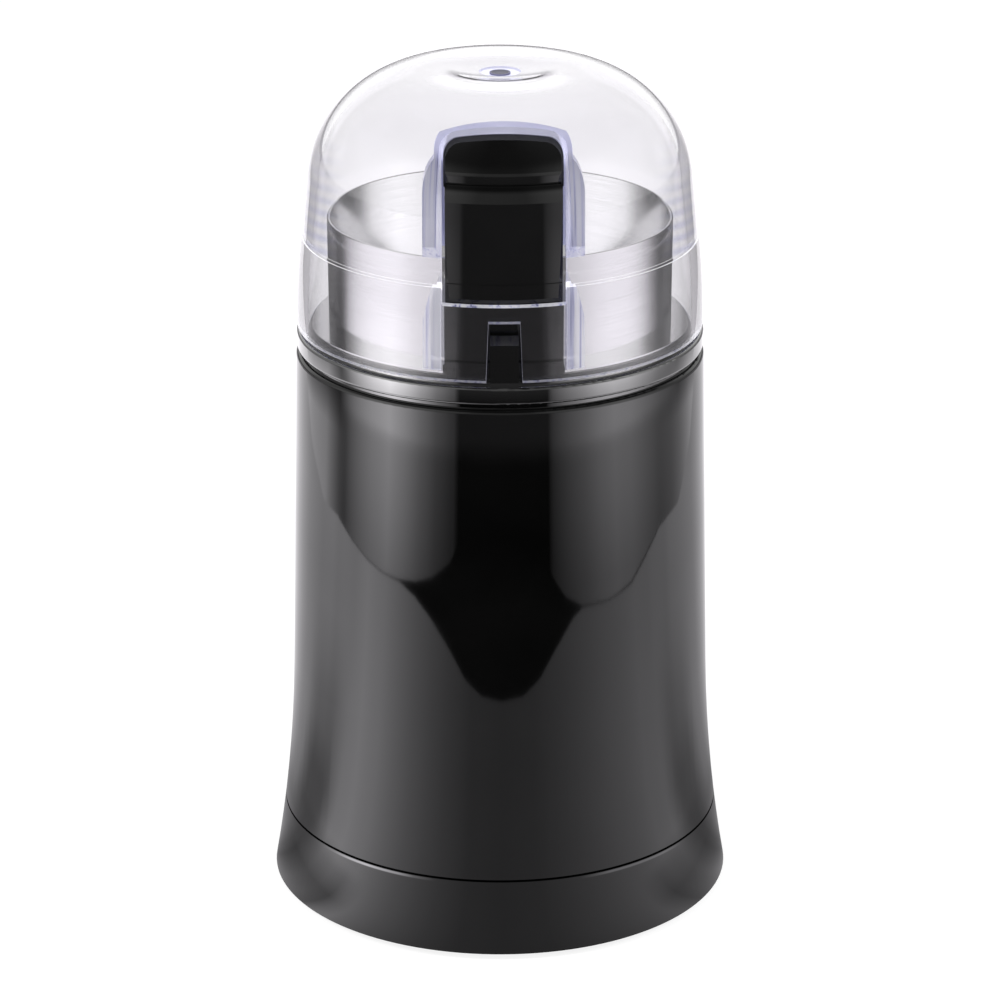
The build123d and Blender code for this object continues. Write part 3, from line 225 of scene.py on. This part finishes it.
def grey(level):
    return (level, level, level)


class Wire:
    """One output of a shader node, which can be used in plain arithmetic."""

    def __init__(self, finish, socket):
        self.finish = finish
        self.socket = socket

    def maths(self, operation, first, second=0.0):
        return self.finish.node("ShaderNodeMath", {"operation": operation}, {0: first, 1: second})

    def __add__(self, other):
        return self.maths("ADD", self, other)

    def __rsub__(self, other):
        return self.maths("SUBTRACT", other, self)

    def __mul__(self, other):
        return self.maths("MULTIPLY", self, other)

    def __truediv__(self, other):
        return self.maths("DIVIDE", self, other)

    def __gt__(self, other):
        return self.maths("GREATER_THAN", self, other)

    def choose(self, chosen, otherwise):
        """The first value where this wire is 1, the second where it is 0."""
        return self * chosen + (1.0 - self) * otherwise


class Finish:
    """The nodes of one finish, or of the room round the object."""

    def __init__(self, tree):
        self.tree = tree
        self.tree.nodes.clear()

    def node(self, kind, settings, sockets, output=0):
        made = self.tree.nodes.new(kind)
        for name, value in settings.items():
            if name == "stops":
                self.set_stops(made.color_ramp, value)
            else:
                setattr(made, name, value)
        for name, value in sockets.items():
            if isinstance(value, Wire):
                self.tree.links.new(value.socket, made.inputs[name])
            else:
                made.inputs[name].default_value = value
        return Wire(self, made.outputs[output]) if made.outputs else None

    def set_stops(self, ramp, stops):
        while len(ramp.elements) > 1:
            ramp.elements.remove(ramp.elements[-1])
        first, *rest = stops
        ramp.elements[0].position = first[0]
        ramp.elements[0].color = (*first[1], 1.0)
        for position, colour in rest:
            ramp.elements.new(position).color = (*colour, 1.0)

    def place(self):
        return self.node("ShaderNodeTexCoord", {}, {}, "Object")

    def stretched(self, scale):
        settings = {"operation": "MULTIPLY"}
        return self.node("ShaderNodeVectorMath", settings, {0: self.place(), 1: scale})

    def grain(self, scale, detail=2.0, vector=None):
        sockets = {"Vector": vector or self.place(), "Scale": scale, "Detail": detail}
        return self.node("ShaderNodeTexNoise", {}, sockets)

    def ramp(self, amount, stops):
        return self.node("ShaderNodeValToRGB", {"stops": stops}, {0: amount})

    def tint(self, amount, low, high):
        return self.ramp(amount, [(0.3, low), (0.7, high)])

    def levels(self, amount, stops):
        """A number that runs from stop to stop, and may be above 1."""
        peak = max(level for _, level in stops)
        return self.ramp(amount, [(position, grey(level / peak)) for position, level in stops]) * peak

    def by_bearing(self, x, y, stops):
        """A number set by bearing round the object: 0 in front of it, left negative, in degrees."""
        bearing = self.node("ShaderNodeMath", {"operation": "ARCTAN2"}, {0: x, 1: 0.0 - y})
        turn = bearing / (2.0 * math.pi) + 0.5
        return self.levels(turn, [(0.5 + degrees / 360.0, level) for degrees, level in stops])

    def fade(self, value, start, end):
        """Rises smoothly from 0 at the start to 1 at the end."""
        sockets = {"Value": value, "From Min": start, "From Max": end}
        return self.node("ShaderNodeMapRange", {"interpolation_type": "SMOOTHSTEP"}, sockets)

    def axes(self, vector):
        return [self.node("ShaderNodeSeparateXYZ", {}, {0: vector}, axis) for axis in "XYZ"]

    def length(self, x, y):
        return self.node("ShaderNodeMath", {"operation": "SQRT"}, {0: x * x + y * y})

    def path(self, kind):
        return self.node("ShaderNodeLightPath", {}, {}, kind)

    def mirrored(self):
        return self.path("Glossy Depth") > mirrored_depth

    def in_wall(self):
        return self.path("Transmission Depth") > in_wall_depth

    def lidded(self):
        return self.path("Transmission Depth") > lidded_depth

    def bump(self, height, strength, distance):
        sockets = {"Height": height, "Strength": strength, "Distance": distance}
        return self.node("ShaderNodeBump", {}, sockets)

    def surface(self, **sockets):
        named = {name.replace("_", " "): value for name, value in sockets.items()}
        shader = self.node("ShaderNodeBsdfPrincipled", {}, named)
        self.node("ShaderNodeOutputMaterial", {}, {"Surface": shader})


def new_finish(name):
    material = bpy.data.materials.new(name)
    material.use_nodes = True
    return material, Finish(material.node_tree)


def gloss_skin(f, low, high, rough_low, rough_span):
    """Colour, roughness and fine texture of a polished moulding."""
    haze = f.grain(55.0, 4.0)
    skin = f.grain(900.0, 1.0)
    return {
        "Base_Color": f.tint(haze, low, high),
        "Roughness": haze * rough_span + rough_low,
        "Normal": f.bump(skin, 0.02, fine_depth),
    }


body_black = (grey(0.0012), grey(0.0024), 0.02, 0.04)
button_black = (grey(0.0018), grey(0.003), 0.05, 0.06)


def gloss_plastic(name, black):
    material, f = new_finish(name)
    f.surface(**gloss_skin(f, *black))
    return material


def base_plastic():
    """Gloss black of the base, with a painted glint that glows along its rounded top edge below the seam.
    """
    material, f = new_finish("base_gloss")
    x, y, height = f.axes(f.place())
    rim_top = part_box("base_cover")[1].z - base_lip_rise
    rise = f.fade(height, rim_top - glint_start, rim_top - glint_full)
    fall = f.fade(height, rim_top, rim_top - glint_fading)
    # Painted glint: emission on a thin band along the top edge of the base, set by bearing.
    glint_amount = f.by_bearing(x, y, rim_painted_glint) * (rise * fall)
    f.surface(
        **gloss_skin(f, *body_black),
        Emission_Color=f.ramp(glint_amount, [(0.0, grey(0.0)), (1.0, glint_tint)]),
        Emission_Strength=1.0,
    )
    return material


def collar_plastic():
    """Gloss black of the collar, with a harder shine on its ring than on the tower above."""
    material, f = new_finish("collar_gloss")
    _, _, height = f.axes(f.place())
    f.surface(
        **gloss_skin(f, *body_black),
        Coat_Weight=1.0 - (height > ring_shine_top),
        Coat_IOR=1.85,
    )
    return material


def clear_plastic():
    """Clear moulding with painted faint violet rings of refracted light where its wall is seen along its
    length.
    """
    material, f = new_finish("clear_plastic")
    haze = f.grain(30.0, 3.0)
    edge_on = f.node("ShaderNodeLayerWeight", {}, {"Blend": 0.5}, "Facing")
    _, _, height = f.axes(f.place())
    slant = height / ring_pitch + edge_on * ring_slant
    wave = f.node("ShaderNodeMath", {"operation": "SINE"}, {0: slant})
    outermost = 1.0 - f.in_wall()
    band = f.fade(height, ring_top, ring_foot) * (height > ring_low) * outermost
    # Painted refraction lines: violet rings on the outermost surface, strongest where the wall is seen
    # edge-on.
    painted_rings = f.fade(edge_on, 0.35, 0.6) * band * (wave * 0.5 + 0.5)
    f.surface(
        Base_Color=f.ramp(painted_rings + haze * 0.04, [(0.0, clear_tint), (1.0, refracted_violet)]),
        Roughness=haze * 0.01,
        IOR=1.5,
        Transmission_Weight=1.0,
    )
    return material


def lid_edge_glow():
    """Edges and niche walls of the clear lid, with painted glow and painted pale violet streaks of light.
    """
    material, f = new_finish("lid_edge_glow")
    _, _, height = f.axes(f.place())
    roof = f.fade(height, roof_foot, roof_top)
    rise = f.fade(height, crease_foot, crease_foot + crease_blur)
    fall = f.fade(height, crease_top, crease_top - crease_blur)
    # Painted glow: emission on the arch roof and the crease, and a faint glow on every edge face.
    painted_glow = roof * 0.3 + rise * fall * 0.8 + 0.2
    # Painted streaks of light along the niche walls, with a flat violet band on the roof.
    painted_streaks = f.grain(1.0, 2.0, f.stretched((1100, 300, 25))) * (1.0 - roof) + roof * 0.46
    painted_streak_colours = [
        (0.34, (0.16, 0.17, 0.36)),
        (0.4, (0.58, 0.59, 0.82)),
        (0.52, grey(0.93)),
        (0.65, grey(0.98)),
    ]
    glow_colours = [(0.0, grey(0.0)), (0.5, (0.42, 0.42, 0.55)), (1.0, grey(1.0))]
    f.surface(
        Base_Color=f.ramp(painted_streaks, painted_streak_colours),
        Roughness=painted_streaks * 0.2 + 0.05,
        IOR=1.5,
        Transmission_Weight=0.45,
        Emission_Color=f.ramp(painted_glow, glow_colours),
        Emission_Strength=0.6,
    )
    return material


def gate_mark():
    """Sunk mark in the middle of the lid where the mould was filled."""
    material, f = new_finish("gate_mark")
    x, y, _ = f.axes(f.place())
    from_middle = f.length(x, y) / gate_nub
    colours = [(0.0, (0.05, 0.05, 0.10)), (0.7, (0.02, 0.02, 0.05)), (1.0, (0.2, 0.2, 0.32))]
    f.surface(
        Base_Color=f.ramp(from_middle, colours),
        Roughness=from_middle * 0.1 + 0.15,
        Specular_IOR_Level=0.12,
    )
    return material


def bowl_steel():
    """Turned steel, whose inside is dressed so that it throws the light up and out."""
    material, f = new_finish("bowl_steel")
    lines = f.grain(1.0, 3.0, f.stretched((60, 60, 5000)))
    x, y, _ = f.axes(f.place())
    inside = f.fade(f.length(x, y), cup_radius + cup_blur, cup_radius - cup_blur)
    lift = f.node("ShaderNodeCombineXYZ", {}, {"Z": inside * inside_lift})
    turned = f.bump(lines, 0.15, fine_depth)
    raised = f.node("ShaderNodeVectorMath", {"operation": "ADD"}, {0: turned, 1: lift})
    f.surface(
        Base_Color=f.tint(lines, grey(0.66), grey(0.74)),
        Metallic=1.0,
        Roughness=lines * 0.1 + 0.1,
        Normal=f.node("ShaderNodeVectorMath", {"operation": "NORMALIZE"}, {0: raised}),
    )
    return material


def turned_metal(name, low, high, rough_low, rough_span, stretch, depth=fine_depth):
    material, f = new_finish(name)
    lines = f.grain(1.0, 3.0, f.stretched(stretch))
    f.surface(
        Base_Color=f.tint(lines, low, high),
        Metallic=1.0,
        Roughness=lines * rough_span + rough_low,
        Normal=f.bump(lines, 0.15, depth),
    )
    return material


def matt_skin(name, low, high, rough_low, rough_span, scale):
    material, f = new_finish(name)
    pores = f.grain(scale, 4.0)
    f.surface(
        Base_Color=f.tint(pores, low, high),
        Roughness=pores * rough_span + rough_low,
        Normal=f.bump(pores, 0.2, pore_depth),
    )
    return material


zinc_tints = ((0.55, 0.56, 0.58), (0.68, 0.68, 0.70))
bronze_tints = ((0.50, 0.33, 0.13), (0.62, 0.42, 0.18))
copper_tints = ((0.60, 0.25, 0.11), (0.75, 0.34, 0.17))

slot_finishes = {
    "clear_plastic": clear_plastic(),
    "black_gloss": gloss_plastic("black_gloss", body_black),
    "button_black": gloss_plastic("button_black", button_black),
    "foot_rubber": matt_skin("foot_rubber", grey(0.015), grey(0.03), 0.6, 0.25, 900.0),
    "seal_black": matt_skin("seal_black", grey(0.012), grey(0.022), 0.4, 0.25, 700.0),
    "bowl_steel": bowl_steel(),
    "blade_steel": turned_metal("blade_steel", grey(0.58), grey(0.66), 0.18, 0.12, (2500, 200, 200)),
    "zinc_steel": turned_metal("zinc_steel", *zinc_tints, 0.25, 0.15, grey(500)),
    "spring_steel": turned_metal("spring_steel", grey(0.45), grey(0.55), 0.2, 0.12, grey(700)),
    "motor_plastic": matt_skin("motor_plastic", grey(0.02), grey(0.035), 0.4, 0.2, 600.0),
    "bronze": turned_metal("bronze", *bronze_tints, 0.25, 0.15, grey(500)),
    "copper": turned_metal("copper", *copper_tints, 0.22, 0.12, (300, 300, 2500), 0.03 * mm),
    "core_iron": turned_metal("core_iron", grey(0.22), grey(0.34), 0.35, 0.2, (80, 80, 4000), 0.04 * mm),
    "carbon": matt_skin("carbon", grey(0.02), grey(0.05), 0.45, 0.2, 1200.0),
}

for piece in frame["record"]["subparts"]:
    mesh = nodes[piece["node"]].data
    mesh.materials.clear()
    mesh.materials.append(slot_finishes[piece["material_slot"]])
nodes["top_collar"].data.materials[0] = collar_plastic()
nodes["base_cover"].data.materials[0] = base_plastic()


class Arc:
    """A round stretch of the lid's turned profile."""

    def __init__(self, middle_r, middle_z, bend, foot_z, top_z):
        self.middle_r = middle_r
        self.middle_z = middle_z
        self.bend = bend
        self.foot_z = foot_z
        self.top_z = top_z

    def square(self, r, z):
        """Direction square to the curve at a point next to it."""
        span = math.hypot(r - self.middle_r, z - self.middle_z)
        return (r - self.middle_r) / span, (z - self.middle_z) / span

    def off(self, r, z):
        """Distance from a point to the curve, outwards positive."""
        return math.hypot(r - self.middle_r, z - self.middle_z) - self.bend


class Flank:
    """The straight drafted side of the dome."""

    def __init__(self, foot_r, foot_z, draft, top_z):
        self.foot_r = foot_r
        self.foot_z = foot_z
        self.draft = draft
        self.top_z = top_z

    def square(self, r, z):
        return math.cos(self.draft), math.sin(self.draft)

    def off(self, r, z):
        return (r - self.foot_r) * math.cos(self.draft) + (z - self.foot_z) * math.sin(self.draft)


def lid_curves():
    """The turned curves of the lid, those of its outside first and then those of its inside."""
    low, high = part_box("lid")
    shoulder_z = low.z + band_height
    corner_z = high.z - dome_corner
    band_in = lid_radius - band_top_radius
    band_bend = (band_in**2 + band_height**2) / (2.0 * band_in)
    corner_drop = (shoulder_z - corner_z) * math.sin(dome_draft)
    corner_r = dome_radius - (dome_corner - corner_drop) / math.cos(dome_draft)
    dish_drop = dome_corner - dish_sink
    dish_bend = (corner_r**2 + dish_drop**2 - dome_corner**2) / (2.0 * dish_sink)
    dish_z = high.z - dish_sink
    curves = []
    for inset in (0.0, lid_wall):
        flank_top = corner_z + (dome_corner - inset) * math.sin(dome_draft)
        curves.append(Arc(lid_radius - inset - band_bend, low.z, band_bend, low.z, shoulder_z))
        curves.append(Flank(dome_radius - inset, shoulder_z, dome_draft, flank_top))
        curves.append(Arc(corner_r, corner_z, dome_corner - inset, flank_top, high.z))
        curves.append(Arc(0.0, dish_z + dish_bend, dish_bend + inset, dish_z - inset, high.z))
    return curves


def curves_beside(place, curves):
    return [curve for curve in curves if curve.foot_z - on_curve < place.z < curve.top_z + on_curve]


def curves_at(place, curves):
    r = place.xy.length
    beside = curves_beside(place, curves)
    return [curve for curve in beside if r > on_curve and abs(curve.off(r, place.z)) < on_curve]


def square_to(place, curve):
    """Direction square to the turned surface at a place."""
    r = place.xy.length
    along_r, along_z = curve.square(r, place.z)
    return Vector((place.x / r * along_r, place.y / r * along_r, along_z))


def seat(place, curves):
    """Bring a new corner onto the nearest turned curve."""
    r = place.xy.length
    curve = min(curves_beside(place, curves), key=lambda each: abs(each.off(r, place.z)))
    return place - square_to(place, curve) * curve.off(r, place.z)


def split_wide_facets(shape, curves):
    """Halve each edge that spans too much of a turned surface."""
    on = {vertex: curves_at(vertex.co, curves) for vertex in shape.verts}
    wide = []
    for edge in shape.edges:
        if edge.is_boundary:
            continue
        round_about = [vertex for face in edge.link_faces for vertex in face.verts]
        for curve in on[edge.verts[0]]:
            if all(curve in on[vertex] for vertex in round_about):
                ends = [square_to(vertex.co, curve) for vertex in edge.verts]
                if ends[0].dot(ends[1]) < facet_span:
                    wide.append(edge)
                break
    halved = bmesh.ops.subdivide_edges(shape, edges=wide, cuts=1)
    for made in halved["geom_inner"]:
        if isinstance(made, bmesh.types.BMVert):
            made.co = seat(made.co, curves)
    bmesh.ops.triangulate(shape, faces=shape.faces)


def turned_normal(place, face_normal, curves):
    """Direction square to the turned curve that a corner lies on, or None where it lies on none."""
    squares = [square_to(place, curve) for curve in curves_at(place, curves)]
    best = max(squares, key=lambda square: abs(square.dot(face_normal)), default=None)
    if best is None or abs(best.dot(face_normal)) < facing:
        return None
    return best if best.dot(face_normal) > 0.0 else -best


def polished_lid():
    """The clear lid with surfaces as smooth as a polished mould leaves them, and its edges given a painted
    glow.
    """
    moulded = nodes["lid"].data
    mesh = moulded.copy()
    edge_slot = len(mesh.materials)
    mesh.materials.append(lid_edge_glow())
    gate_slot = len(mesh.materials)
    mesh.materials.append(gate_mark())
    curves = lid_curves()
    shape = bmesh.new()
    shape.from_mesh(moulded)
    origin = shape.faces.layers.int.new("origin")
    for face in shape.faces:
        face[origin] = face.index
    for _ in range(facet_rounds):
        split_wide_facets(shape, curves)
    shape.to_mesh(mesh)
    shape.free()
    gate_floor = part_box("lid")[1].z - 2.0 * dish_sink
    normals = [None] * len(mesh.loops)
    for face in mesh.polygons:
        places = [mesh.vertices[index].co for index in face.vertices]
        found = [turned_normal(place, face.normal, curves) for place in places]
        split_from = moulded.polygons[mesh.attributes["origin"].data[face.index].value]
        for turn, (corner, normal) in enumerate(zip(face.loop_indices, found)):
            moulded_normal = moulded.corner_normals[split_from.loop_start + turn].vector
            normals[corner] = normal or moulded_normal
        lowest = min(place.z for place in places)
        widest = max(place.xy.length for place in places)
        on_crown = lowest > crown_foot and widest > gate_ring
        if None in found and not on_crown:
            face.material_index = edge_slot
        if lowest > gate_floor and widest < gate_nub:
            face.material_index = gate_slot
    mesh.attributes.remove(mesh.attributes["origin"])
    mesh.normals_split_custom_set(normals)
    shell = bpy.data.objects.new("lid_shell", mesh)
    bpy.context.scene.collection.objects.link(shell)
    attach(shell, "lid")
    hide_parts("lid")


polished_lid()

lens = bpy.data.cameras.new("camera")
lens.sensor_width = sensor_width
lens.lens = focal_pixels * sensor_width / photo_size
lens.clip_start = camera_near
camera = bpy.data.objects.new("camera", lens)
camera_x = -math.sin(camera_yaw) * camera_back
camera_y = -math.cos(camera_yaw) * camera_back
camera.location = (camera_x, camera_y, camera_height)
camera.rotation_euler = (math.pi / 2.0 - camera_pitch, 0.0, -camera_yaw)
bpy.context.scene.collection.objects.link(camera)
bpy.context.scene.camera = camera
bpy.context.scene.view_settings.view_transform = "Standard"


def studio_room():
    """The room above the table: plain white, but with bright and dark sides in a mirrored ray."""
    world = bpy.data.worlds.new("studio")
    world.use_nodes = True
    bpy.context.scene.world = world
    f = Finish(world.node_tree)
    east, north, up = f.axes(f.node("ShaderNodeTexCoord", {}, {}, "Generated"))
    overhead = 1.0 - f.fade(up, overhead_start, overhead_full) * overhead_dimming
    backdrop = f.by_bearing(east, north, backdrop_glow) * f.fade(up, backdrop_foot, backdrop_top)
    from_open = f.by_bearing(east, north, room_glow) * overhead + backdrop
    from_wall = f.by_bearing(east, north, in_wall_glow)
    from_lid = f.by_bearing(east, north, over_cup_glow) * overhead
    shine = f.lidded().choose(from_lid, f.in_wall().choose(from_wall, from_open))
    seen = f.mirrored().choose(shine, 1.0)
    level = f.path("Is Diffuse Ray").choose(room_for_diffuse, seen)
    background = f.node("ShaderNodeBackground", {}, {"Color": white, "Strength": level})
    f.node("ShaderNodeOutputWorld", {}, {"Surface": background})


def table_paper():
    """White paper, which in a mirrored ray shows a painted reflection of a table with lamps on the dark
    ground past its edge.
    """
    material, f = new_finish("table_white")
    x, y, _ = f.axes(f.node("ShaderNodeNewGeometry", {}, {}, "Position"))
    distance = f.length(x, y)

    def pool(bearings, reach):
        return f.by_bearing(x, y, bearings) * f.levels(distance, reach)

    past_lamp_edge = distance > f.by_bearing(x, y, lamp_edge)
    lamps = past_lamp_edge * pool(lamp_glow, lamp_reach) * lamp_strength
    haze = f.levels(distance, haze_reach)
    past_table = lamps + pool(side_glow, side_reach) + pool(back_glow, back_reach) + haze
    flank = f.by_bearing(x, y, flank_share).choose(f.levels(distance, flank_reach), 1.0)
    # Painted shade on the mirrored table round the foot and skirt of the base.
    foot_unshaded = 1.0 - pool(foot_shade_share, foot_shade_reach)
    skirt_unshaded = 1.0 - pool(skirt_shade_share, skirt_shade_reach)
    on_table = f.by_bearing(x, y, table_glow) * (flank * foot_unshaded * skirt_unshaded)
    from_open = (distance > f.by_bearing(x, y, table_edge)).choose(past_table, on_table)
    from_wall = f.by_bearing(x, y, in_wall_glow) * ground_in_wall_share
    from_lid = f.by_bearing(x, y, under_lid_glow)
    shine = f.lidded().choose(from_lid, f.in_wall().choose(from_wall, from_open))
    paper = f.node("ShaderNodeBsdfDiffuse", {}, {"Color": (*grey(table_albedo), 1)})
    lift = f.node("ShaderNodeEmission", {}, {"Color": white, "Strength": table_white})
    lit_paper = f.node("ShaderNodeAddShader", {}, {0: paper, 1: lift})
    mirror_paper = f.node("ShaderNodeEmission", {}, {"Color": shine_tint, "Strength": shine})
    look = f.node("ShaderNodeMixShader", {}, {0: f.mirrored(), 1: lit_paper, 2: mirror_paper})
    f.node("ShaderNodeOutputMaterial", {}, {"Surface": look})
    return material


def table_ground():
    mesh = bpy.data.meshes.new("ground")
    shape = bmesh.new()
    bmesh.ops.create_circle(shape, cap_ends=True, segments=ground_sides, radius=ground_radius)
    shape.to_mesh(mesh)
    shape.free()
    mesh.materials.append(table_paper())
    ground = bpy.data.objects.new("ground", mesh)
    bpy.context.scene.collection.objects.link(ground)


def softbox(name, bearing, power):
    light = bpy.data.lights.new(name, "AREA")
    light.shape = "SQUARE"
    light.size = softbox_size
    light.energy = power
    lamp = bpy.data.objects.new(name, light)
    across = math.cos(softbox_rise) * softbox_distance
    lamp.location = (
        math.sin(bearing) * across,
        -math.cos(bearing) * across,
        math.sin(softbox_rise) * softbox_distance + softbox_aim,
    )
    lamp.rotation_euler = (math.pi / 2.0 - softbox_rise, 0.0, bearing)
    lamp.visible_camera = False
    lamp.visible_glossy = False
    lamp.visible_transmission = False
    bpy.context.scene.collection.objects.link(lamp)


studio_room()
table_ground()
softbox("left_softbox", -softbox_bearing, softbox_power)
softbox("right_softbox", softbox_bearing, softbox_power * right_softbox_share)
